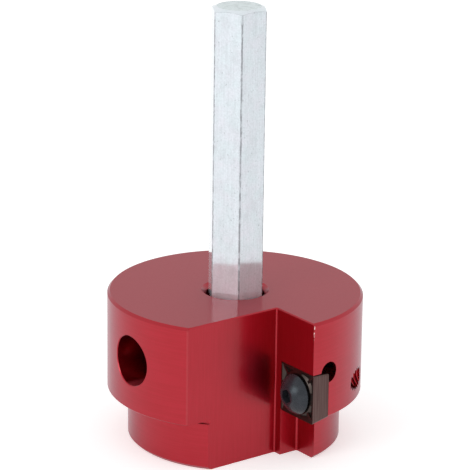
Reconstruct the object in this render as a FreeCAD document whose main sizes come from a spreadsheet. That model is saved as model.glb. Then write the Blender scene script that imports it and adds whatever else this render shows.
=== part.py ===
import FreeCAD, Part
import Sketcher
import math
import os
import re

# Reamer for plastic pipe: a turned and milled aluminium body with a pilot that enters the pipe,
# a square cutting insert held by one screw in a pocket of the notch, and a hexagonal drive shank.
# Frame: millimetres, origin on the tool's axis at the pilot's bottom face, +Z up the shank.
# +X is the radial direction of the cutting edge, and the insert's face looks towards -Y.

# Driving dimensions, each one written once

SIZES = {
    "head_diameter": 48.0,
    "head_height": 18.8,
    "head_top_chamfer": 0.5,
    "shoulder_chamfer": 0.12,
    "pilot_diameter": 40.2,
    "pilot_height": 9.8,
    "pilot_chamfer": 0.6,
    "undercut_width": 0.8,
    "undercut_depth": 0.3,
    "notch_shelf": 1.65,
    "notch_corner_radius": 0.3,
    "notch_edge_chamfer": 0.2,
    "insert_side": 9.525,
    "insert_thickness": 3.97,
    "insert_relief_angle": 7.0,
    "insert_nose_radius": 0.4,
    "insert_land": 0.28,
    "insert_hole_diameter": 4.6,
    "insert_drop": 0.72,
    "cutting_overhang": 0.13,
    "breaker_depth": 0.38,
    "breaker_slope": 0.75,
    "boss_diameter": 8.1,
    "boss_flare": 0.45,
    "bridge_width": 2.4,
    "rib_width": 0.5,
    "rib_drop": 0.1,
    "pocket_clearance": 0.05,
    "pocket_corner_radius": 0.4,
    "pocket_relief_diameter": 4.0,
    "pocket_relief_drop": 0.2,
    "clamp_screw_diameter": 4.17,
    "clamp_screw_length": 9.5,
    "clamp_screw_drop": 0.1,
    "clamp_head_diameter": 7.6,
    "clamp_head_height": 2.5,
    "clamp_head_flat": 3.3,
    "clamp_head_brim": 0.45,
    "clamp_head_bevel": 0.3,
    "clamp_socket": 2.38,
    "clamp_socket_depth": 1.4,
    "shank_across_flats": 9.525,
    "shank_edge_radius": 0.3,
    "shank_length": 76.3,
    "shank_end_diameter": 8.2,
    "shank_end_angle": 23.0,
    "bore_depth": 22.0,
    "bore_clearance": 0.06,
    "bore_chamfer": 0.8,
    "side_hole_diameter": 9.5,
    "side_hole_drop": 9.3,
    "side_hole_rim": 0.15,
    "grip_screw_length": 9.5,
    "grip_screw_socket": 4.76,
    "grip_screw_socket_depth": 4.5,
    "grip_flat_distance": 4.4,
    "grip_flat_height": 11.0,
    "thread_clearance": 0.02,
    "end_chamfer": 0.5,
}

# Places that several pieces share, as formulas on the sheet

BODY_TOP = "(pilot_height + head_height)"
BORE_FLOOR = "(pilot_height + head_height - bore_depth)"
BORE_RADIUS = "(shank_across_flats / 2 / cos(30) + bore_clearance)"
INSERT_X = "(head_diameter / 2 + cutting_overhang - insert_side / 2)"
INSERT_Z = "(pilot_height - insert_drop + insert_side / 2)"
CLAMP_Z = "(pilot_height - insert_drop + insert_side / 2 - clamp_screw_drop)"
POCKET_TOP = "(pilot_height - insert_drop + insert_side + pocket_clearance)"
POCKET_WALL = "(head_diameter / 2 + cutting_overhang - insert_side - pocket_clearance)"
NOTCH_FLAT = "(head_diameter / 2 + cutting_overhang - insert_side - pocket_clearance - notch_shelf)"
SIDE_HOLE_Z = "(pilot_height + head_height - side_hole_drop)"

doc = FreeCAD.newDocument("pipe_reamer")
sheet = doc.addObject("Spreadsheet::Sheet", "Sizes")
sheet.Label = "driving dimensions"
for row, (name, value) in enumerate(SIZES.items(), start=1):
    sheet.set(f"A{row}", name)
    sheet.set(f"B{row}", str(value))
    sheet.setAlias(f"B{row}", name)
doc.recompute()


def formula(text):
    """Return the expression with each driving dimension named through the sheet."""
    return re.sub(r"[a-z_]+", lambda word: "Sizes." + word[0] if word[0] in SIZES else word[0], text)


def measure(text):
    """Return an expression's present value."""
    return float(sheet.evalExpression(formula(text)))


def bind(obj, prop, text):
    obj.setExpression(prop, formula(text))


def new_body(label, x="0", y="0", z="0"):
    """Start a piece whose own origin lies at the place given."""
    body = doc.addObject("PartDesign::Body", label)
    body.Label = label
    for axis, place in zip("xyz", (x, y, z)):
        bind(body, f"Placement.Base.{axis}", place)
    return body


def new_sketch(body, name, plane, offset="0"):
    """Attach a sketch to one of the body's own planes, moved along the plane's normal."""
    sketch = body.newObject("Sketcher::SketchObject", name)
    origin_plane = next(item for item in body.Origin.OriginFeatures if item.Role == plane)
    sketch.AttachmentSupport = [(origin_plane, "")]
    sketch.MapMode = "FlatFace"
    bind(sketch, "AttachmentOffset.Base.z", offset)
    return sketch


def pin_point(sketch, geometry, point, place):
    """Fix a point of the sketch by its two distances from the sketch's origin."""
    for kind, text, axis in zip(("DistanceX", "DistanceY"), place, (-2, -1)):
        value = measure(text)
        if abs(value) < 1e-9:
            sketch.addConstraint(Sketcher.Constraint("PointOnObject", geometry, point, axis))
            continue
        ends = (-1, 1, geometry, point) if value > 0 else (geometry, point, -1, 1)
        index = sketch.addConstraint(Sketcher.Constraint(kind, *ends, abs(value)))
        bind(sketch, f"Constraints[{index}]", text if value > 0 else f"-({text})")


def crown(start, end):
    """Return the arc between two points that has its centre on the vertical axis."""
    height = (start.x ** 2 + start.y ** 2 - end.x ** 2 - end.y ** 2) / 2 / (start.y - end.y)
    centre = FreeCAD.Vector(0, height, 0)
    angles = [math.atan2(point.y - height, point.x) for point in (start, end)]
    return Part.ArcOfCircle(Part.Circle(centre, FreeCAD.Vector(0, 0, 1), (start - centre).Length), *angles)


def outline(sketch, corners, domed_side=None):
    """Draw a closed outline through corners given as pairs of expressions.

    Its sides are straight, except that one may be a crown that runs anticlockwise.
    """
    points = [FreeCAD.Vector(measure(x), measure(y), 0) for x, y in corners]
    count = len(points)
    for index in range(count):
        side = crown if index == domed_side else Part.LineSegment
        sketch.addGeometry(side(points[index], points[(index + 1) % count]))
    for index in range(count):
        sketch.addConstraint(Sketcher.Constraint("Coincident", index, 2, (index + 1) % count, 1))
    if domed_side is not None:
        sketch.addConstraint(Sketcher.Constraint("PointOnObject", domed_side, 3, -2))
    for index, corner in enumerate(corners):
        pin_point(sketch, index, 1, corner)
    return sketch


def box_corners(x_low, x_high, y_low, y_high):
    return [(x_low, y_low), (x_high, y_low), (x_high, y_high), (x_low, y_high)]


def circle(sketch, x, y, diameter):
    centre = FreeCAD.Vector(measure(x), measure(y), 0)
    ring = sketch.addGeometry(Part.Circle(centre, FreeCAD.Vector(0, 0, 1), measure(diameter) / 2))
    pin_point(sketch, ring, 3, (x, y))
    index = sketch.addConstraint(Sketcher.Constraint("Diameter", ring, measure(diameter)))
    bind(sketch, f"Constraints[{index}]", diameter)
    return sketch


def hexagon(sketch, across_flats):
    """Draw a regular hexagon about the sketch's origin, with two corners on its V axis."""
    steps = ((0, 2), (-1, 1), (-1, -1), (0, -2), (1, -1), (1, 1))
    return outline(sketch, [(f"{x} * {across_flats} / 2", f"{y} * {across_flats} / 2 * tan(30)")
                            for x, y in steps])


def add_feature(body, kind, name, sketch, length=None, reversed_way=False):
    """Add a pad or pocket of the sketch, through everything where no length is given."""
    feature = body.newObject(f"PartDesign::{kind}", name)
    feature.Profile = sketch
    feature.Reversed = reversed_way
    if length is None:
        feature.Type = "ThroughAll"
    else:
        bind(feature, "Length", length)
    sketch.Visibility = False
    doc.recompute()
    return feature


def cut(body, name, sketch, length=None, reversed_way=False):
    """Add a pocket, and make sure that it took something away."""
    pocket = add_feature(body, "Pocket", name, sketch, length, reversed_way)
    check_cut(pocket)
    return pocket


def check_cut(feature):
    if not feature.Shape.Volume < feature.BaseFeature.Shape.Volume - 0.01:
        raise RuntimeError(f"{feature.Label} cuts nothing")


def turn(body, kind, name, sketch):
    """Revolve the sketch about its vertical axis, as a solid or as a cut."""
    feature = body.newObject(f"PartDesign::{kind}", name)
    feature.Profile = sketch
    feature.ReferenceAxis = (sketch, ["V_Axis"])
    feature.Angle = 360
    sketch.Visibility = False
    doc.recompute()
    if kind == "Groove":
        check_cut(feature)
    return feature


def loft(body, kind, name, first, second):
    feature = body.newObject(f"PartDesign::{kind}", name)
    feature.Profile = first
    feature.Sections = [second]
    feature.Ruled = True
    first.Visibility = False
    second.Visibility = False
    doc.recompute()
    return feature


def dress(body, kind, name, base, edges, prop, text):
    """Fillet or chamfer the edges of the base feature by an expression."""
    names = [f"Edge{number}" for number, edge in enumerate(base.Shape.Edges, start=1) if edges(edge)]
    if not names:
        raise RuntimeError(f"{name} finds no edge")
    feature = body.newObject(f"PartDesign::{kind}", name)
    feature.Base = (base, names)
    bind(feature, prop, text)
    doc.recompute()
    if feature.Shape.isNull() or not feature.Shape.isValid():
        raise RuntimeError(f"{name} gives no valid solid")
    return feature


def upright_at(x, y):
    """Choose the straight edges parallel to Z that pass through a point."""
    def choose(edge):
        low, high = edge.BoundBox.ZMin, edge.BoundBox.ZMax
        flat = edge.BoundBox.XLength < 1e-6 and edge.BoundBox.YLength < 1e-6
        here = abs(edge.BoundBox.XMin - x) < 1e-6 and abs(edge.BoundBox.YMin - y) < 1e-6
        return flat and here and high > low
    return choose


def make_reamer_body():
    """Turned head and pilot, with bore, notch, insert pocket and cross holes."""
    body = new_body("reamer_body")
    head, pilot = "head_diameter / 2", "pilot_diameter / 2"
    profile = outline(new_sketch(body, "turned_profile", "XZ_Plane"), [
        ("0", "0"),
        (f"{pilot} - pilot_chamfer", "0"),
        (pilot, "pilot_chamfer"),
        (pilot, "pilot_height - undercut_width"),
        (f"{pilot} - undercut_depth", "pilot_height - undercut_width"),
        (f"{pilot} - undercut_depth", "pilot_height"),
        (f"{head} - shoulder_chamfer", "pilot_height"),
        (head, "pilot_height + shoulder_chamfer"),
        (head, BODY_TOP),
        ("0", BODY_TOP),
    ])
    turn(body, "Revolution", "turned_blank", profile)

    notch = outline(new_sketch(body, "notch_outline", "XY_Plane"),
                    box_corners(NOTCH_FLAT, "head_diameter", "-head_diameter", "0"))
    notch_cut = cut(body, "notch", notch, f"{BODY_TOP} + 1", reversed_way=True)
    corner = upright_at(measure(NOTCH_FLAT), 0)
    rounded = dress(body, "Fillet", "notch_corner", notch_cut, corner, "Radius", "notch_corner_radius")

    top = measure(BODY_TOP)
    dress(body, "Chamfer", "top_edge", rounded, lambda edge: edge.BoundBox.ZMin > top - 1e-6,
          "Size", "notch_edge_chamfer")
    rim = outline(new_sketch(body, "rim_profile", "XZ_Plane"), [
        (f"{head} - head_top_chamfer", BODY_TOP),
        (f"{head} + head_top_chamfer", BODY_TOP),
        (f"{head} + head_top_chamfer", f"{BODY_TOP} - 2 * head_top_chamfer"),
    ])
    turn(body, "Groove", "top_rim", rim)

    bore = outline(new_sketch(body, "bore_profile", "XZ_Plane"), [
        ("0", BORE_FLOOR),
        (BORE_RADIUS, BORE_FLOOR),
        (BORE_RADIUS, f"{BODY_TOP} - bore_chamfer"),
        (f"{BORE_RADIUS} + bore_chamfer", BODY_TOP),
        ("0", BODY_TOP),
    ])
    turn(body, "Groove", "bore", bore)

    pocket = outline(new_sketch(body, "pocket_outline", "XY_Plane"),
                     box_corners(POCKET_WALL, "head_diameter", "-1", "insert_thickness"))
    pocket_cut = cut(body, "insert_pocket", pocket, POCKET_TOP, reversed_way=True)
    inner = upright_at(measure(POCKET_WALL), measure("insert_thickness"))
    dress(body, "Fillet", "pocket_corner", pocket_cut, inner, "Radius", "pocket_corner_radius")

    relief = circle(new_sketch(body, "relief_circle", "YZ_Plane", POCKET_WALL),
                    "insert_thickness", f"{POCKET_TOP} - pocket_relief_drop", "pocket_relief_diameter")
    cut(body, "relief_hole", relief, reversed_way=True)

    thread = circle(new_sketch(body, "clamp_hole_circle", "XZ_Plane"),
                    INSERT_X, CLAMP_Z, "clamp_screw_diameter + 2 * thread_clearance")
    cut(body, "clamp_screw_hole", thread)

    side = circle(new_sketch(body, "side_hole_circle", "XZ_Plane"),
                  "0", SIDE_HOLE_Z, "side_hole_diameter")
    side_cut = cut(body, "side_hole", side, reversed_way=True)
    mouth = measure(f"side_hole_diameter / 2 - {head}")
    dress(body, "Chamfer", "side_hole_edge", side_cut, lambda edge: edge.BoundBox.YMax < mouth,
          "Size", "side_hole_rim")
    return body


def make_drive_shank():
    """Hexagonal bar with turned ends and a flat for the screw that grips it."""
    body = new_body("drive_shank", z=BORE_FLOOR)
    bar_outline = hexagon(new_sketch(body, "bar_outline", "XY_Plane"), "shank_across_flats")
    bar = add_feature(body, "Pad", "bar", bar_outline, "shank_length")
    half_length = measure("shank_length / 2")
    dress(body, "Fillet", "bar_edges", bar, lambda edge: edge.BoundBox.ZLength > half_length,
          "Radius", "shank_edge_radius")

    across = "shank_across_flats"
    top_end = outline(new_sketch(body, "top_end_profile", "XZ_Plane"), [
        ("shank_end_diameter / 2", "shank_length"),
        (across, "shank_length"),
        (across, f"shank_length - ({across} - shank_end_diameter / 2) * tan(shank_end_angle)"),
    ])
    turn(body, "Groove", "top_end", top_end)
    low_end = outline(new_sketch(body, "low_end_profile", "XZ_Plane"), [
        (f"{across} / 2", "0"),
        (across, "0"),
        (across, f"{across} / 2"),
    ])
    turn(body, "Groove", "low_end", low_end)

    middle = f"({SIDE_HOLE_Z} - {BORE_FLOOR})"
    flat = outline(new_sketch(body, "grip_flat_outline", "XZ_Plane", "grip_flat_distance"),
                   box_corners(f"-{across}", across, f"{middle} - grip_flat_height / 2",
                               f"{middle} + grip_flat_height / 2"))
    cut(body, "grip_flat", flat, reversed_way=True)
    return body


def make_cutting_insert():
    """Square insert with relief on all sides, a moulded chip breaker and a central hole."""
    body = new_body("cutting_insert", x=INSERT_X, z=INSERT_Z)

    def square(name, inset, depth):
        half = f"(insert_side / 2 - ({inset}))"
        sketch = new_sketch(body, name, "XZ_Plane", f"-({depth})")
        return outline(sketch, box_corners(f"-{half}", half, f"-{half}", half))

    blank = add_feature(body, "Pad", "blank", square("face_square", "0", "0"),
                        "insert_thickness", reversed_way=True)
    bind(blank, "TaperAngle", "-insert_relief_angle")
    doc.recompute()
    half_thickness = measure("insert_thickness / 2")
    dress(body, "Fillet", "noses", blank, lambda edge: edge.BoundBox.YLength > half_thickness,
          "Radius", "insert_nose_radius")

    loft(body, "SubtractiveLoft", "breaker", square("breaker_rim", "insert_land", "0"),
         square("breaker_floor", "insert_land + breaker_slope", "breaker_depth"))

    boss_top = circle(new_sketch(body, "boss_top", "XZ_Plane"), "0", "0", "boss_diameter")
    boss_foot = circle(new_sketch(body, "boss_foot", "XZ_Plane", "-breaker_depth"),
                       "0", "0", "boss_diameter + 2 * boss_flare")
    loft(body, "AdditiveLoft", "boss", boss_top, boss_foot)

    reach, wide = "(insert_side / 2 - insert_land / 2)", "bridge_width / 2"
    bridges = outline(new_sketch(body, "bridges_outline", "XZ_Plane"), [
        (f"-{wide}", f"-{reach}"), (wide, f"-{reach}"), (wide, f"-{wide}"),
        (reach, f"-{wide}"), (reach, wide), (wide, wide),
        (wide, reach), (f"-{wide}", reach), (f"-{wide}", wide),
        (f"-{reach}", wide), (f"-{reach}", f"-{wide}"), (f"-{wide}", f"-{wide}"),
    ])
    add_feature(body, "Pad", "bridges", bridges, "breaker_depth", reversed_way=True)

    inner = f"({reach} - rib_width * cos(45))"
    for name, sign, back in (("rising_ribs", "", "-"), ("falling_ribs", "-", "")):
        ribs = outline(new_sketch(body, f"{name}_outline", "XZ_Plane", "-rib_drop"), [
            (f"{sign}{inner}", reach), (f"{back}{reach}", f"-{inner}"),
            (f"{back}{inner}", f"-{reach}"), (f"{sign}{reach}", inner),
        ])
        add_feature(body, "Pad", name, ribs, "breaker_depth - rib_drop", reversed_way=True)

    hole = circle(new_sketch(body, "hole_circle", "XZ_Plane"), "0", "0", "insert_hole_diameter")
    cut(body, "screw_hole", hole)
    return body


def make_insert_screw():
    """Button head screw, with the underside of its head on the insert's face."""
    body = new_body("insert_screw", x=INSERT_X, z=CLAMP_Z)
    head, stem = "clamp_head_diameter / 2", "clamp_screw_diameter / 2"
    profile = outline(new_sketch(body, "screw_profile", "XY_Plane"), [
        ("0", "-clamp_head_height"),
        ("clamp_head_flat / 2", "-clamp_head_height"),
        (head, "-clamp_head_brim"),
        (f"{head} - clamp_head_bevel", "0"),
        (stem, "0"),
        (stem, "clamp_screw_length - end_chamfer"),
        (f"{stem} - end_chamfer", "clamp_screw_length"),
        ("0", "clamp_screw_length"),
    ], domed_side=1)
    turn(body, "Revolution", "screw_blank", profile)
    socket = hexagon(new_sketch(body, "socket_outline", "XZ_Plane", "clamp_head_height"), "clamp_socket")
    cut(body, "socket", socket, "clamp_socket_depth")
    return body


def make_shank_screw():
    """Headless screw that bears on the flat of the shank."""
    body = new_body("shank_screw", y="-grip_flat_distance", z=SIDE_HOLE_Z)
    stem = "(side_hole_diameter / 2 - thread_clearance)"
    sketch = outline(new_sketch(body, "grip_profile", "XY_Plane"), [
        ("0", "-grip_screw_length"),
        (f"{stem} - end_chamfer", "-grip_screw_length"),
        (stem, "end_chamfer - grip_screw_length"),
        (stem, "-2 * end_chamfer"),
        (f"{stem} - 2 * end_chamfer", "0"),
        ("0", "0"),
    ])
    turn(body, "Revolution", "grip_blank", sketch)
    socket = hexagon(new_sketch(body, "grip_socket_outline", "XZ_Plane", "grip_screw_length"),
                     "grip_screw_socket")
    cut(body, "grip_socket", socket, "grip_screw_socket_depth")
    return body


def check(pieces):
    """Stop if any object of the document failed or a piece has no valid shape."""
    doc.recompute()
    for obj in doc.Objects:
        if {"Invalid", "Error"} & set(obj.State):
            raise RuntimeError(f"{obj.Label} failed: {obj.State}")
    for piece in pieces:
        if piece.Shape.isNull() or not piece.Shape.isValid() or len(piece.Shape.Solids) != 1:
            raise RuntimeError(f"{piece.Label} has no single valid solid")


def export(pieces):
    os.makedirs("parts", exist_ok=True)
    for piece in pieces:
        piece.Shape.exportStep(f"parts/{piece.Label}.step")
        print(piece.Label, round(piece.Shape.Volume, 2), piece.Shape.BoundBox)


pieces = [
    make_reamer_body(),
    make_drive_shank(),
    make_cutting_insert(),
    make_insert_screw(),
    make_shank_screw(),
]
check(pieces)
export(pieces)
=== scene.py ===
"""Finish, threads and studio for a drill-driven reamer for plastic pipe."""
import math

import bmesh
import bpy
from mathutils import Matrix, Vector


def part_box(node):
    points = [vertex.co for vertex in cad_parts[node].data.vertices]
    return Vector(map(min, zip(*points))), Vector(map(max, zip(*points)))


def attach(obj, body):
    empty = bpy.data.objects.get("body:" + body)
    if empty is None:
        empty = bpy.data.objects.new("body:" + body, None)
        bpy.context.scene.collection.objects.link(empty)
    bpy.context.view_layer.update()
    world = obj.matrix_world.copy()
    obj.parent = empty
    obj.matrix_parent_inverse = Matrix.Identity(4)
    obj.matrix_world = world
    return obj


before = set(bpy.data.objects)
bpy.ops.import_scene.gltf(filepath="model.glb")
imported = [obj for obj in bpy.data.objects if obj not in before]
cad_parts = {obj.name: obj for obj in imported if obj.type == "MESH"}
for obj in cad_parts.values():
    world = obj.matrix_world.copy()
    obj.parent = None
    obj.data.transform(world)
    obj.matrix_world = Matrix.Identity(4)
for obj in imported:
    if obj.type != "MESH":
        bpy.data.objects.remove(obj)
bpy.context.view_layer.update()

bl_info = {
    "name": "Pipe Reamer Finish",
    "version": (1, 0, 0),
    "blender": (4, 5, 0),
    "location": "3D View > Sidebar > Reamer",
    "description": "Gives the pipe reamer its finishes, the threads in its holes and its studio",
    "category": "Object",
}

MM = 0.001
BODY_LOW, BODY_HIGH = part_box("reamer_body")
SHANK_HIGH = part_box("drive_shank")[1]
CLAMP_LOW, CLAMP_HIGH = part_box("insert_screw")
GRIP_LOW, GRIP_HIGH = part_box("shank_screw")

# The notch has a wall at Y = 0, where the insert sits, and a flat, which faces +X. Each meets the
# head's side in a sharp upright edge, given here in X and Y.
HEAD_RADIUS = BODY_HIGH.y
NOTCH_FLAT = 12.905 * MM
WALL_EDGE = (HEAD_RADIUS, 0.0)
FLAT_EDGE = (NOTCH_FLAT, -math.sqrt(HEAD_RADIUS ** 2 - NOTCH_FLAT ** 2))

# The cone that chamfers the shank's end: its radius at the top, and how far it widens per metre down.
CONE_RADIUS = 4.1 * MM
CONE_SPREAD = 1 / math.tan(math.radians(23))

# How squarely a milled face looks along its axis, where 1 is exact.
SQUARE_ON = 0.999
# How much longer a mark is than it is wide, by what left it.
CUTTER_STRETCH = 30.0
DRAWN_STRETCH = 60.0
GROUND_STRETCH = 50.0

# Rings in one turn of a thread, and how far its foot sinks into the wall of the hole.
THREAD_STEPS = 72
THREAD_SINK = 0.02 * MM


class Field:
    """A node's output that takes part in Python sums, each of which adds a Math node."""

    def __init__(self, graph, output):
        self.graph = graph
        self.output = output

    def sum_with(self, operation, first, second):
        """Add a Math node that works on two numbers or fields."""
        return self.graph.node("ShaderNodeMath", {"operation": operation}, {0: first, 1: second})

    def __add__(self, other):
        return self.sum_with("ADD", self, other)

    __radd__ = __add__

    def __sub__(self, other):
        return self.sum_with("SUBTRACT", self, other)

    def __rsub__(self, other):
        return self.sum_with("SUBTRACT", other, self)

    def __mul__(self, other):
        return self.sum_with("MULTIPLY", self, other)

    __rmul__ = __mul__

    def __gt__(self, other):
        return self.sum_with("GREATER_THAN", self, other)

    def __lt__(self, other):
        return self.sum_with("LESS_THAN", self, other)


class Graph:
    """The node tree of a material or a world, built up by expressions and one node method."""

    def __init__(self, owner):
        owner.use_nodes = True
        self.tree = owner.node_tree
        self.tree.nodes.clear()

    def node(self, kind, settings=None, values=None, output=0):
        """Add a node, set it up, fill its sockets with numbers or fields and return one output."""
        made = self.tree.nodes.new(kind)
        for name, value in (settings or {}).items():
            setattr(made, name, value)
        for name, value in (values or {}).items():
            if isinstance(value, Field):
                self.tree.links.new(value.output, made.inputs[name])
            else:
                made.inputs[name].default_value = value
        return Field(self, made.outputs[output]) if made.outputs else None

    def place(self):
        """Return the point on the piece, in metres in its own frame."""
        return self.node("ShaderNodeTexCoord", output="Object")

    def along(self, axis):
        """Return the point's X, Y or Z in metres."""
        return self.node("ShaderNodeSeparateXYZ", values={0: self.place()}, output=axis)

    def upright_distance(self, x, y):
        """Return the distance from an upright line at an X and Y."""
        level = self.node("ShaderNodeVectorMath", {"operation": "MULTIPLY"},
                          {0: self.place(), 1: (1.0, 1.0, 0.0)})
        return self.node("ShaderNodeVectorMath", {"operation": "DISTANCE"},
                         {0: level, 1: (x, y, 0.0)}, output="Value")

    def facing(self, axis):
        """Return how far the surface faces along X, Y or Z, from -1 to 1."""
        normal = self.node("ShaderNodeNewGeometry", output="Normal")
        return self.node("ShaderNodeSeparateXYZ", values={0: normal}, output=axis)

    def noise(self, size, detail=3.0, stretch=(1.0, 1.0, 1.0)):
        """Return noise about 0.5, its grains of a size in metres and stretched along X, Y or Z."""
        scaled = self.node("ShaderNodeVectorMath", {"operation": "MULTIPLY"},
                           {0: self.place(), 1: [1.0 / (size * part) for part in stretch]})
        return self.node("ShaderNodeTexNoise", values={"Vector": scaled, "Scale": 1.0, "Detail": detail})

    def fit(self, field, low, high, new_low=0.0, new_high=1.0):
        """Map a field from one range to another, held at the ends."""
        return self.node("ShaderNodeMapRange", {"clamp": True}, {
            "Value": field, "From Min": low, "From Max": high, "To Min": new_low, "To Max": new_high})

    def mix(self, factor, first, second):
        """Blend two colours by a field. Each is a field or its red, green and blue."""
        first, second = (colour if isinstance(colour, Field) else (*colour, 1.0)
                         for colour in (first, second))
        return self.node("ShaderNodeMix", {"data_type": "RGBA"},
                         {"Factor": factor, 6: first, 7: second}, output=2)

    def bump(self, height, depth):
        """Raise the surface by a field between 0 and 1, at most by depth metres."""
        return self.node("ShaderNodeBump", values={"Height": height, "Distance": depth, "Strength": 1.0})

    def surface(self, values):
        """Finish a material with one principled shader."""
        shader = self.node("ShaderNodeBsdfPrincipled", values=values)
        self.node("ShaderNodeOutputMaterial", values={"Surface": shader})


def new_material(name):
    """Return a new material and its empty graph."""
    material = bpy.data.materials.new(name)
    return material, Graph(material)


def new_mesh(name, shape):
    """Turn an edited shape into mesh data and let go of it."""
    mesh = bpy.data.meshes.new(name)
    shape.to_mesh(mesh)
    shape.free()
    return mesh


def link(item):
    """Put an object in the scene."""
    bpy.context.scene.collection.objects.link(item)


def dress(name, material):
    """Put a material on every slot of a CAD node."""
    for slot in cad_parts[name].material_slots:
        slot.material = material


def new_piece(name, mesh, material):
    """Add a mesh to the scene as a piece that rides on the part."""
    piece = bpy.data.objects.new(name, mesh)
    link(piece)
    piece.data.materials.append(material)
    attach(piece, "root")


class BodyFinish(bpy.types.PropertyGroup):
    """Red anodised aluminium."""
    deep_colour: bpy.props.FloatVectorProperty(
        name="Deep Red", description="Colour of the dyed oxide layer", subtype="COLOR",
        default=(0.362, 0.004, 0.014), min=0.0, max=1.0)
    light_colour: bpy.props.FloatVectorProperty(
        name="Light Red", description="Colour where the dye took less", subtype="COLOR",
        default=(0.398, 0.006, 0.019), min=0.0, max=1.0)
    top_colour: bpy.props.FloatVectorProperty(
        name="Top", description="Colour of the turned end faces", subtype="COLOR",
        default=(0.375, 0.038, 0.052), min=0.0, max=1.0)
    # Bare metal of the wear nicks, also used for the painted highlight along the flat's edge.
    bare_and_highlight_colour: bpy.props.FloatVectorProperty(
        name="Bare Metal", description="Colour of the nicks on the sharp edges", subtype="COLOR",
        default=(0.85, 0.62, 0.60), min=0.0, max=1.0)
    edge_tint: bpy.props.FloatVectorProperty(
        name="Edge Tint", description="Tint of the metal's shine at a glancing angle", subtype="COLOR",
        default=(0.65, 0.76, 0.82), min=0.0, max=1.0)
    roughness: bpy.props.FloatProperty(
        name="Roughness", description="Blur of the satin metal under the oxide",
        default=0.38, min=0.0, max=1.0)
    top_roughness: bpy.props.FloatProperty(
        name="Top Roughness", description="Blur of the turned metal on the end faces",
        default=0.7, min=0.0, max=1.0)
    thread_gloss: bpy.props.FloatProperty(
        name="Thread Gloss", description="How much less blur the insert screw's thread has",
        default=0.22, min=0.0, max=1.0)
    oxide: bpy.props.FloatProperty(
        name="Oxide", description="Strength of the clear oxide's own gloss", default=0.43, min=0.0, max=1.0)
    top_oxide: bpy.props.FloatProperty(
        name="Top Oxide", description="Strength of the oxide's gloss on the end faces",
        default=0.37, min=0.0, max=1.0)
    oxide_roughness: bpy.props.FloatProperty(
        name="Oxide Roughness", description="Blur of the clear oxide's own gloss",
        default=0.17, min=0.0, max=1.0)
    oxide_index: bpy.props.FloatProperty(
        name="Oxide Index", description="Refractive index of the oxide", default=1.65, min=1.0)
    cloud: bpy.props.FloatProperty(
        name="Cloud Size", description="Size of the clouds in the dye", default=6 * MM, unit="LENGTH")
    grain: bpy.props.FloatProperty(
        name="Grain", description="Size of the satin grain", default=0.25 * MM, unit="LENGTH")
    tool_mark: bpy.props.FloatProperty(
        name="Tool Mark", description="Spacing of the marks that the cutters left",
        default=0.3 * MM, unit="LENGTH")
    nick: bpy.props.FloatProperty(
        name="Nick Size", description="Size of the nicks on the edge by the insert",
        default=0.5 * MM, unit="LENGTH")
    depth: bpy.props.FloatProperty(
        name="Mark Depth", description="Depth of the grain and of the cutters' marks",
        default=0.007 * MM, unit="LENGTH")


class ShankFinish(bpy.types.PropertyGroup):
    """Bright zinc on a drawn bar."""
    colour: bpy.props.FloatVectorProperty(
        name="Zinc", description="Colour of the plating", subtype="COLOR",
        default=(0.80, 0.885, 0.93), min=0.0, max=1.0)
    cloud_colour: bpy.props.FloatVectorProperty(
        name="Cloud", description="Colour of the plating's lilac clouds", subtype="COLOR",
        default=(0.85, 0.875, 0.945), min=0.0, max=1.0)
    end_colour: bpy.props.FloatVectorProperty(
        name="Cut End", description="Colour of the plating on the sawn end", subtype="COLOR",
        default=(0.72, 0.80, 0.81), min=0.0, max=1.0)
    dull_colour: bpy.props.FloatVectorProperty(
        name="Dull", description="Colour that dull spots in the plating lean to", subtype="COLOR",
        default=(0.42, 0.44, 0.46), min=0.0, max=1.0)
    # This colour is a painted dark reflection along the bar's corners and the chamfer's rim.
    edge_reflection_colour: bpy.props.FloatVectorProperty(
        name="Edge", description="Colour of the thin plating along the bar's edges", subtype="COLOR",
        default=(0.26, 0.27, 0.29), min=0.0, max=1.0)
    metal: bpy.props.FloatProperty(
        name="Metal", description="Share of the plating that is bright metal, the rest being milky",
        default=0.44, min=0.0, max=1.0)
    roughness: bpy.props.FloatProperty(
        name="Roughness", description="Blur of the plating", default=0.06, min=0.0, max=1.0)
    cloud: bpy.props.FloatProperty(
        name="Cloud Size", description="Size of the lilac clouds", default=2.5 * MM, unit="LENGTH")
    blotch: bpy.props.FloatProperty(
        name="Blotch Size", description="Size of the dull blotches", default=1.3 * MM, unit="LENGTH")
    spangle: bpy.props.FloatProperty(
        name="Spangle Size", description="Size of the zinc's dull crystals",
        default=0.32 * MM, unit="LENGTH")
    speck: bpy.props.FloatProperty(
        name="Speck Size", description="Size of the few small dull specks",
        default=0.5 * MM, unit="LENGTH")
    # Breaks up the painted dark reflection along the edges.
    edge_break: bpy.props.FloatProperty(
        name="Break Size", description="Size of the breaks in the dark edges",
        default=0.9 * MM, unit="LENGTH")
    grain: bpy.props.FloatProperty(
        name="Grain", description="Size of the plating's grain", default=0.3 * MM, unit="LENGTH")
    line: bpy.props.FloatProperty(
        name="Line Width", description="Width of the lines that drawing left",
        default=0.2 * MM, unit="LENGTH")
    fine_line: bpy.props.FloatProperty(
        name="Fine Line Width", description="Width of the finer, dull lines that drawing left",
        default=0.13 * MM, unit="LENGTH")
    depth: bpy.props.FloatProperty(
        name="Mark Depth", description="Depth of the grain and of the drawn lines",
        default=0.0025 * MM, unit="LENGTH")


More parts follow.
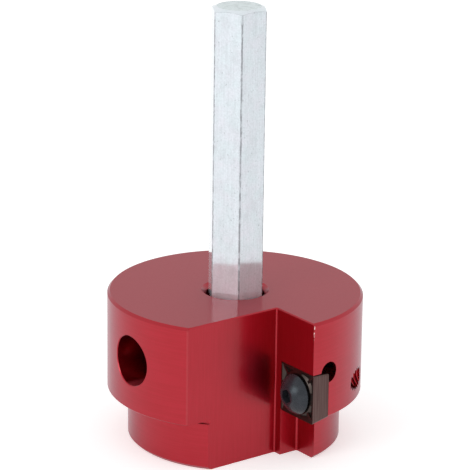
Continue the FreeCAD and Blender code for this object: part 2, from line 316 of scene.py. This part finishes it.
class InsertFinish(bpy.types.PropertyGroup):
    """Coated carbide."""
    colour: bpy.props.FloatVectorProperty(
        name="Coating", description="Colour of the coating", subtype="COLOR",
        default=(0.079, 0.042, 0.040), min=0.0, max=1.0)
    worn_colour: bpy.props.FloatVectorProperty(
        name="Thin Coating", description="Colour where the coating is thin", subtype="COLOR",
        default=(0.121, 0.078, 0.071), min=0.0, max=1.0)
    face_colour: bpy.props.FloatVectorProperty(
        name="Face", description="Colour of the coating on the moulded face", subtype="COLOR",
        default=(0.062, 0.050, 0.045), min=0.0, max=1.0)
    roughness: bpy.props.FloatProperty(
        name="Roughness", description="Blur of the ground carbide", default=0.36, min=0.0, max=1.0)
    line: bpy.props.FloatProperty(
        name="Line Width", description="Width of the grinding lines", default=0.22 * MM, unit="LENGTH")
    grain: bpy.props.FloatProperty(
        name="Grain", description="Size of the coating's grain", default=0.1 * MM, unit="LENGTH")
    depth: bpy.props.FloatProperty(
        name="Mark Depth", description="Depth of the grinding lines and the grain",
        default=0.01 * MM, unit="LENGTH")


class ScrewFinish(bpy.types.PropertyGroup):
    """Black oxide."""
    colour: bpy.props.FloatVectorProperty(
        name="Black Oxide", description="Colour of the screws", subtype="COLOR",
        default=(0.022, 0.021, 0.026), min=0.0, max=1.0)
    shine_tint: bpy.props.FloatVectorProperty(
        name="Shine Tint", description="Tint of the oiled oxide's shine", subtype="COLOR",
        default=(0.75, 0.93, 1.0), min=0.0, max=1.0)
    shine: bpy.props.FloatProperty(
        name="Shine", description="Strength of the oiled oxide's shine", default=0.36, min=0.0, max=1.0)
    roughness: bpy.props.FloatProperty(
        name="Roughness", description="Blur of the oiled oxide", default=0.24, min=0.0, max=1.0)
    cloud: bpy.props.FloatProperty(
        name="Cloud Size", description="Size of the oxide's lighter clouds", default=1.0 * MM, unit="LENGTH")
    grain: bpy.props.FloatProperty(
        name="Grain", description="Size of the oxide's grain", default=0.12 * MM, unit="LENGTH")
    depth: bpy.props.FloatProperty(
        name="Grain Depth", description="Depth of the oxide's grain", default=0.008 * MM, unit="LENGTH")


class ThreadSizes(bpy.types.PropertyGroup):
    """Internal threads of the two tapped holes."""
    side_pitch: bpy.props.FloatProperty(
        name="Side Pitch", description="Pitch of the side hole's thread",
        default=1.5875 * MM, unit="LENGTH")
    side_radius: bpy.props.FloatProperty(
        name="Side Radius", description="Radius at the root of the side hole's thread",
        default=4.75 * MM, unit="LENGTH")
    clamp_pitch: bpy.props.FloatProperty(
        name="Clamp Pitch", description="Pitch of the insert screw's thread",
        default=0.794 * MM, unit="LENGTH")
    clamp_radius: bpy.props.FloatProperty(
        name="Clamp Radius", description="Radius at the root of the insert screw's thread",
        default=2.105 * MM, unit="LENGTH")
    crest: bpy.props.FloatProperty(
        name="Crest", description="Height of a thread as a share of its pitch", default=0.5, min=0.1, max=0.9)
    lead_in: bpy.props.FloatProperty(
        name="Lead In", description="How far the side hole's thread starts inside its mouth",
        default=7.0 * MM, unit="LENGTH")
    side_margin: bpy.props.FloatProperty(
        name="Side Margin", description="Least distance from the side hole's thread to the head's outside",
        default=0.2 * MM, unit="LENGTH")
    clamp_margin: bpy.props.FloatProperty(
        name="Clamp Margin", description="Distance from the insert screw's thread to the head's outside",
        default=0.03 * MM, unit="LENGTH")


class StageSettings(bpy.types.PropertyGroup):
    """Floor, light and camera."""
    azimuth: bpy.props.FloatProperty(
        name="Azimuth", description="Camera's bearing round the tool, from -Y towards +X",
        default=math.radians(53.174), subtype="ANGLE")
    elevation: bpy.props.FloatProperty(
        name="Elevation", description="Camera's height above the level of its aim",
        default=math.radians(17.816), subtype="ANGLE")
    roll: bpy.props.FloatProperty(
        name="Roll", description="Camera's turn about its own axis",
        default=math.radians(0.784), subtype="ANGLE")
    distance: bpy.props.FloatProperty(
        name="Distance", description="Camera's distance from its aim", default=487.78 * MM, unit="LENGTH")
    aim: bpy.props.FloatVectorProperty(
        name="Aim", description="Spot that the camera and the lamp are pointed at",
        subtype="TRANSLATION", unit="LENGTH", default=(0.0, -0.22 * MM, 39.26 * MM))
    lens: bpy.props.FloatProperty(
        name="Lens", description="Focal length in millimetres on a 36 mm sensor", default=200.5)
    floor_colour: bpy.props.FloatVectorProperty(
        name="Floor", description="Colour of the floor", subtype="COLOR",
        default=(0.86, 0.86, 0.86), min=0.0, max=1.0)
    floor_radius: bpy.props.FloatProperty(
        name="Floor Radius", description="Radius of the round floor", default=4.0, unit="LENGTH")
    floor_lift: bpy.props.FloatProperty(
        name="Floor Lift", description="Brightness added to the floor where it stands for the background",
        default=0.47, min=0.0)
    surround: bpy.props.FloatProperty(
        name="Surround", description="Brightness of the soft light from all sides", default=0.75, min=0.0)
    key: bpy.props.FloatProperty(
        name="Key", description="Brightness of the soft key lamp", default=3.2, min=0.0)
    key_azimuth: bpy.props.FloatProperty(
        name="Key Azimuth", description="Lamp's bearing round the tool, from -Y towards +X",
        default=math.radians(4), subtype="ANGLE")
    key_elevation: bpy.props.FloatProperty(
        name="Key Elevation", description="Lamp's height above the level of its aim",
        default=math.radians(22), subtype="ANGLE")
    key_distance: bpy.props.FloatProperty(
        name="Key Distance", description="Lamp's distance from its aim", default=1.5, unit="LENGTH")
    key_size: bpy.props.FloatProperty(
        name="Key Size", description="Side of the square lamp", default=0.7, unit="LENGTH")


class ReamerSettings(bpy.types.PropertyGroup):
    """All settings of the reamer."""
    body: bpy.props.PointerProperty(type=BodyFinish)
    shank: bpy.props.PointerProperty(type=ShankFinish)
    insert: bpy.props.PointerProperty(type=InsertFinish)
    screw: bpy.props.PointerProperty(type=ScrewFinish)
    thread: bpy.props.PointerProperty(type=ThreadSizes)
    stage: bpy.props.PointerProperty(type=StageSettings)


def cutter_marks(graph, finish, up, grain):
    """Return the cutters' marks: upright where milled, level where turned, faint on the end faces."""
    x, y = graph.along("X"), graph.along("Y")
    # The limits in X and Y leave out the strips of the turned sides that face the same way.
    wall = (graph.facing("Y") < -SQUARE_ON) * (y > -MM)
    milled = (graph.facing("X") > SQUARE_ON) * (x < 0.75 * HEAD_RADIUS) + wall
    upright = graph.noise(finish.tool_mark, 2.0, (1.0, 1.0, CUTTER_STRETCH))
    level = graph.noise(finish.tool_mark, 2.0, (CUTTER_STRETCH, CUTTER_STRETCH, 1.0))
    return milled * upright + (1 - milled) * (1 - up) * level + 0.3 * up * grain


def nicks_and_painted_edge_highlight(graph, finish, up):
    """Return how far the red is off: wear nicks high on the edge by the insert, and a faint painted highlight
    along the other.
    """
    outermost, innermost = 0.26 * MM, 0.12 * MM
    nicks = graph.fit(graph.noise(finish.nick, 3.0, (1.0, 1.0, 2.0)), 0.47, 0.55)
    wall_edge, flat_edge = (graph.fit(graph.upright_distance(*edge), outermost, innermost)
                            for edge in (WALL_EDGE, FLAT_EDGE))
    near_top = graph.fit(graph.along("Z"), BODY_HIGH.z - 3.3 * MM, BODY_HIGH.z - 2 * MM)
    # The nicks are wear; the faint even line along the flat's edge is a painted highlight.
    return (wall_edge * nicks * near_top + 0.025 * flat_edge) * (1 - up)


def anodised_material(finish, name="red_anodised", gloss=0.0):
    """Satin red metal under a clear oxide, with the marks of turning and milling."""
    material, graph = new_material(name)
    # Where the surface faces straight up or down.
    up = graph.fit(graph.facing("Z") * graph.facing("Z"), 0.9, 0.98)
    cloud = graph.fit(graph.noise(finish.cloud, 4.0), 0.35, 0.65)
    grain = graph.noise(finish.grain, 2.0)
    marks = cutter_marks(graph, finish, up, grain)
    streaks = 0.35 * cloud + 0.65 * graph.fit(marks, 0.4, 0.6)
    colour = graph.mix(streaks, finish.deep_colour, finish.light_colour)
    colour = graph.mix(up, colour, finish.top_colour)
    graph.surface({
        # Mixes in the wear nicks and the painted highlight along the flat's edge.
        "Base Color": graph.mix(nicks_and_painted_edge_highlight(graph, finish, up), colour, finish.bare_and_highlight_colour),
        "Metallic": 1.0,
        "Roughness": (finish.roughness - gloss + 0.12 * (grain - 0.5)
                      + (finish.top_roughness - finish.roughness) * up),
        "Coat Weight": finish.oxide - (finish.oxide - finish.top_oxide) * up,
        "Coat Roughness": finish.oxide_roughness,
        "Coat IOR": finish.oxide_index,
        "Specular Tint": (*finish.edge_tint, 1.0),
        "Normal": graph.bump(0.6 * marks + 0.4 * grain, finish.depth),
    })
    return material


def zinc_edges(graph, finish, grain, chamfered):
    """Return the bar's corners, and then the same with the chamfer's edges, broken up, which places a painted
    dark reflection.
    """
    radius = graph.upright_distance(0.0, 0.0)
    corner = SHANK_HIGH.y
    ragged = 0.12 * MM * (grain - 0.5)
    corners = graph.fit(radius + ragged, corner - 0.07 * MM, corner - 0.02 * MM)
    cone = CONE_RADIUS + CONE_SPREAD * (SHANK_HIGH.z - graph.along("Z"))
    rim = graph.fit(cone - radius, 0.24 * MM, 0.06 * MM)
    breaks = graph.fit(graph.noise(finish.edge_break, 3.0, (1.0, 1.0, 2.0)), 0.42, 0.52)
    return corners, (0.4 + 0.45 * breaks) * (corners + 0.7 * rim) * (1 - chamfered)


def zinc_material(finish):
    """Milky bright plating with dull spots, a painted dark reflection along the edges and the fine lines of a
    drawn bar.
    """
    material, graph = new_material("bright_zinc")
    cloud = graph.fit(graph.noise(finish.cloud, 3.0), 0.35, 0.7)
    blotches = graph.fit(graph.noise(finish.blotch, 4.0, (1.0, 1.0, 1.6)), 0.48, 0.68)
    spangle = graph.fit(graph.noise(finish.spangle, 3.0), 0.3, 0.7)
    specks = graph.fit(graph.noise(finish.speck, 1.0, (0.7, 0.7, 1.0)), 0.70, 0.76)
    grain = graph.noise(finish.grain, 3.0)
    drawn = graph.noise(finish.line, 2.0, (1.0, 1.0, DRAWN_STRETCH))
    fine_lines = graph.fit(graph.noise(finish.fine_line, 1.0, (1.0, 1.0, DRAWN_STRETCH)), 0.4, 0.6)
    dull = 0.26 * spangle + 0.12 * fine_lines + 0.6 * specks + 0.13 * blotches

    chamfered = graph.fit(graph.facing("Z"), 0.2, 0.4)
    cut_end = graph.fit(graph.facing("Z"), 0.9, 0.99)
    corners, edges = zinc_edges(graph, finish, grain, chamfered)

    plating = graph.mix(cloud, finish.colour, finish.cloud_colour)
    plating = graph.mix(dull * (1 - 0.8 * chamfered), plating, finish.dull_colour)
    dark_end = [0.78 * part for part in finish.end_colour]
    sawn = graph.mix(0.8 * blotches + 0.2 * spangle, finish.end_colour, dark_end)
    plating = graph.mix(cut_end, plating, sawn)
    graph.surface({
        # The dark lines along the corners and the chamfer's rim are a painted reflection.
        "Base Color": graph.mix(edges, plating, finish.edge_reflection_colour),
        "Metallic": finish.metal,
        "Roughness": finish.roughness + 0.08 * grain + 0.25 * corners * (1 - chamfered) + 0.35 * cut_end,
        "Normal": graph.bump(0.5 * drawn + 0.5 * grain, finish.depth),
    })
    return material


def carbide_material(finish):
    """Brown coating on carbide, with upright grinding lines and a greyer moulded face."""
    material, graph = new_material("coated_carbide")
    lines = graph.noise(finish.line, 2.0, (1.0, 1.0, GROUND_STRETCH))
    grain = graph.noise(finish.grain, 2.0)
    thin = graph.fit(lines, 0.35, 0.65)
    front = graph.fit(graph.facing("Y"), -0.2, -0.6)
    coating = graph.mix(thin, finish.colour, finish.worn_colour)
    graph.surface({
        "Base Color": graph.mix(front, coating, finish.face_colour),
        "Metallic": 1.0,
        "Roughness": graph.fit(grain, 0.3, 0.7, finish.roughness - 0.05, finish.roughness + 0.05),
        "Normal": graph.bump(0.7 * lines + 0.3 * grain, finish.depth),
    })
    return material


def oxide_material(finish):
    """Oiled black oxide on a screw."""
    material, graph = new_material("black_oxide")
    cloud = graph.fit(graph.noise(finish.cloud, 4.0), 0.35, 0.65)
    grain = graph.noise(finish.grain, 3.0)
    lighter = [1.5 * part for part in finish.colour]
    graph.surface({
        "Base Color": graph.mix(cloud, finish.colour, lighter),
        "Metallic": 0.0,
        "Roughness": graph.fit(grain, 0.3, 0.7, finish.roughness - 0.06, finish.roughness + 0.08),
        "Specular IOR Level": finish.shine,
        "Specular Tint": (*finish.shine_tint, 1.0),
        "Normal": graph.bump(grain, finish.depth),
    })
    return material


def thread_mesh(name, centre, radius, crest, pitch, start, end):
    """Make the ridge of an internal thread round a hole along Y, from start to end."""
    foot, tip = 0.46 * pitch, 0.06 * pitch
    profile = ((radius + THREAD_SINK, -foot), (radius - crest, -tip),
               (radius - crest, tip), (radius + THREAD_SINK, foot))
    ridge = bmesh.new()
    rings = []
    for index in range(int((end - start) / pitch * THREAD_STEPS) + 1):
        angle = 2 * math.pi * index / THREAD_STEPS
        along = start + pitch * index / THREAD_STEPS
        rings.append([ridge.verts.new((centre.x + reach * math.cos(angle), along + shift,
                                       centre.z + reach * math.sin(angle))) for reach, shift in profile])
    for ring, following in zip(rings, rings[1:]):
        for side in range(len(profile)):
            after = (side + 1) % len(profile)
            ridge.faces.new((ring[side], ring[after], following[after], following[side]))
    ridge.faces.new(rings[0])
    ridge.faces.new(reversed(rings[-1]))
    bmesh.ops.recalc_face_normals(ridge, faces=ridge.faces)
    return new_mesh(name, ridge)


def trimmed_to_head(mesh, reach):
    """Cut off what stands outside a radius round the tool's axis."""
    envelope = bmesh.new()
    bmesh.ops.create_cone(envelope, cap_ends=True, segments=256, radius1=reach, radius2=reach,
                          depth=4 * reach)
    cutter = bpy.data.objects.new("head_envelope", new_mesh("head_envelope", envelope))
    blank = bpy.data.objects.new("thread_blank", mesh)
    link(cutter)
    link(blank)
    trim = blank.modifiers.new("trim", "BOOLEAN")
    trim.operation = "INTERSECT"
    trim.solver = "EXACT"
    trim.object = cutter
    depsgraph = bpy.context.evaluated_depsgraph_get()
    trimmed = bpy.data.meshes.new_from_object(blank.evaluated_get(depsgraph))
    for item in (cutter, blank):
        bpy.data.objects.remove(item)
    return trimmed


class REAMER_OT_body(bpy.types.Operator):
    """Anodise the body"""
    bl_idname = "reamer.body"
    bl_label = "Anodise Body"

    def execute(self, context):
        dress("reamer_body", anodised_material(context.scene.reamer.body))
        return {"FINISHED"}


class REAMER_OT_shank(bpy.types.Operator):
    """Plate the drive shank"""
    bl_idname = "reamer.shank"
    bl_label = "Plate Shank"

    def execute(self, context):
        dress("drive_shank", zinc_material(context.scene.reamer.shank))
        return {"FINISHED"}


class REAMER_OT_insert(bpy.types.Operator):
    """Coat the cutting insert"""
    bl_idname = "reamer.insert"
    bl_label = "Coat Insert"

    def execute(self, context):
        dress("cutting_insert", carbide_material(context.scene.reamer.insert))
        return {"FINISHED"}


class REAMER_OT_screws(bpy.types.Operator):
    """Blacken both screws"""
    bl_idname = "reamer.screws"
    bl_label = "Blacken Screws"

    def execute(self, context):
        material = oxide_material(context.scene.reamer.screw)
        dress("insert_screw", material)
        dress("shank_screw", material)
        return {"FINISHED"}


class REAMER_OT_threads(bpy.types.Operator):
    """Cut the threads of the two tapped holes"""
    bl_idname = "reamer.threads"
    bl_label = "Cut Threads"

    def execute(self, context):
        sizes = context.scene.reamer.thread
        finish = context.scene.reamer.body
        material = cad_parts["reamer_body"].material_slots[0].material
        side = thread_mesh("side_thread", (GRIP_LOW + GRIP_HIGH) / 2, sizes.side_radius,
                           sizes.crest * sizes.side_pitch, sizes.side_pitch,
                           -HEAD_RADIUS + sizes.lead_in, GRIP_LOW.y - sizes.side_pitch)
        side = trimmed_to_head(side, HEAD_RADIUS - sizes.side_margin)
        new_piece("side_thread", side, material)
        # This thread is made to run out past the hole's mouth, and the trim ends it just inside.
        clamp = thread_mesh("clamp_thread", (CLAMP_LOW + CLAMP_HIGH) / 2, sizes.clamp_radius,
                            sizes.crest * sizes.clamp_pitch, sizes.clamp_pitch,
                            CLAMP_HIGH.y + sizes.clamp_pitch, 0.7 * HEAD_RADIUS)
        clamp = trimmed_to_head(clamp, HEAD_RADIUS - sizes.clamp_margin)
        crests = anodised_material(finish, "cut_thread", finish.thread_gloss)
        new_piece("clamp_thread", clamp, crests)
        return {"FINISHED"}


def background_rays(graph):
    """Return 1 for the camera's rays and for those that gloss and glass send out, and 0 for the rest."""
    kinds = [graph.node("ShaderNodeLightPath", output=name)
             for name in ("Is Camera Ray", "Is Glossy Ray", "Is Transmission Ray")]
    return graph.fit(kinds[0] + kinds[1] + kinds[2], 0.0, 1.0)


def floor_material(settings):
    """Plain pale floor, lifted to the background's white, that keeps the tool's shadow."""
    material, graph = new_material("studio_floor")
    diffuse = graph.node("ShaderNodeBsdfDiffuse", values={"Color": (*settings.floor_colour, 1.0)})
    glow = graph.node("ShaderNodeEmission",
                      values={"Strength": settings.floor_lift * background_rays(graph)})
    both = graph.node("ShaderNodeAddShader", values={0: diffuse, 1: glow})
    graph.node("ShaderNodeOutputMaterial", values={"Surface": both})
    return material


def lay_floor(settings):
    """Lay the round floor under the tool."""
    ground = bmesh.new()
    bmesh.ops.create_circle(ground, cap_ends=True, segments=96, radius=settings.floor_radius)
    floor = bpy.data.objects.new("floor", new_mesh("floor", ground))
    floor.location.z = BODY_LOW.z
    floor.data.materials.append(floor_material(settings))
    link(floor)


def make_world(settings):
    """Plain soft light all round, with a white background to the camera, in metal and through glass."""
    world = bpy.data.worlds.new("studio")
    bpy.context.scene.world = world
    graph = Graph(world)
    seen = background_rays(graph)
    background = graph.node("ShaderNodeBackground", values={
        "Color": (1.0, 1.0, 1.0, 1.0), "Strength": settings.surround * (1 - seen) + seen})
    graph.node("ShaderNodeOutputWorld", values={"Surface": background})


def point_at(item, aim, azimuth, elevation, distance, roll=0.0):
    """Put a lamp or camera at a bearing, height angle and distance from a spot, pointed at it."""
    level = distance * math.cos(elevation)
    item.location = aim + Vector((level * math.sin(azimuth), -level * math.cos(azimuth),
                                  distance * math.sin(elevation)))
    facing = (aim - item.location).to_track_quat("-Z", "Y").to_matrix().to_4x4()
    item.rotation_euler = (facing @ Matrix.Rotation(roll, 4, "Z")).to_euler()
    link(item)


def hang_lamp(settings):
    """Hang the square soft lamp."""
    light = bpy.data.lights.new("key_lamp", "AREA")
    light.shape = "SQUARE"
    light.size = settings.key_size
    light.energy = settings.key * math.pi * settings.key_size ** 2
    point_at(bpy.data.objects.new("key_lamp", light), Vector(settings.aim),
             settings.key_azimuth, settings.key_elevation, settings.key_distance)


def set_camera(settings):
    """Set the camera up where the photograph was taken from."""
    camera_data = bpy.data.cameras.new("camera")
    camera_data.sensor_fit = "HORIZONTAL"
    camera_data.sensor_width = 36.0
    camera_data.lens = settings.lens
    camera_data.clip_start = 0.01
    camera = bpy.data.objects.new("camera", camera_data)
    point_at(camera, Vector(settings.aim), settings.azimuth, settings.elevation,
             settings.distance, settings.roll)
    bpy.context.scene.camera = camera


class REAMER_OT_stage(bpy.types.Operator):
    """Set up the floor, the light and the camera"""
    bl_idname = "reamer.stage"
    bl_label = "Set Stage"

    def execute(self, context):
        settings = context.scene.reamer.stage
        lay_floor(settings)
        make_world(settings)
        hang_lamp(settings)
        set_camera(settings)
        context.scene.view_settings.view_transform = "Standard"
        return {"FINISHED"}


class REAMER_PT_panel(bpy.types.Panel):
    """Lists the steps that finish the reamer"""
    bl_idname = "REAMER_PT_panel"
    bl_label = "Pipe Reamer"
    bl_space_type = "VIEW_3D"
    bl_region_type = "UI"
    bl_category = "Reamer"

    def draw(self, context):
        for step in STEPS:
            self.layout.operator(step.bl_idname)


STEPS = (REAMER_OT_body, REAMER_OT_shank, REAMER_OT_insert, REAMER_OT_screws, REAMER_OT_threads,
         REAMER_OT_stage)
GROUPS = (BodyFinish, ShankFinish, InsertFinish, ScrewFinish, ThreadSizes, StageSettings, ReamerSettings)
CLASSES = GROUPS + STEPS + (REAMER_PT_panel,)


def register():
    for item in CLASSES:
        bpy.utils.register_class(item)
    bpy.types.Scene.reamer = bpy.props.PointerProperty(type=ReamerSettings)


def unregister():
    del bpy.types.Scene.reamer
    for item in reversed(CLASSES):
        bpy.utils.unregister_class(item)


def main():
    register()
    bpy.ops.reamer.body()
    bpy.ops.reamer.shank()
    bpy.ops.reamer.insert()
    bpy.ops.reamer.screws()
    bpy.ops.reamer.threads()
    bpy.ops.reamer.stage()


if __name__ == "__main__":
    main()
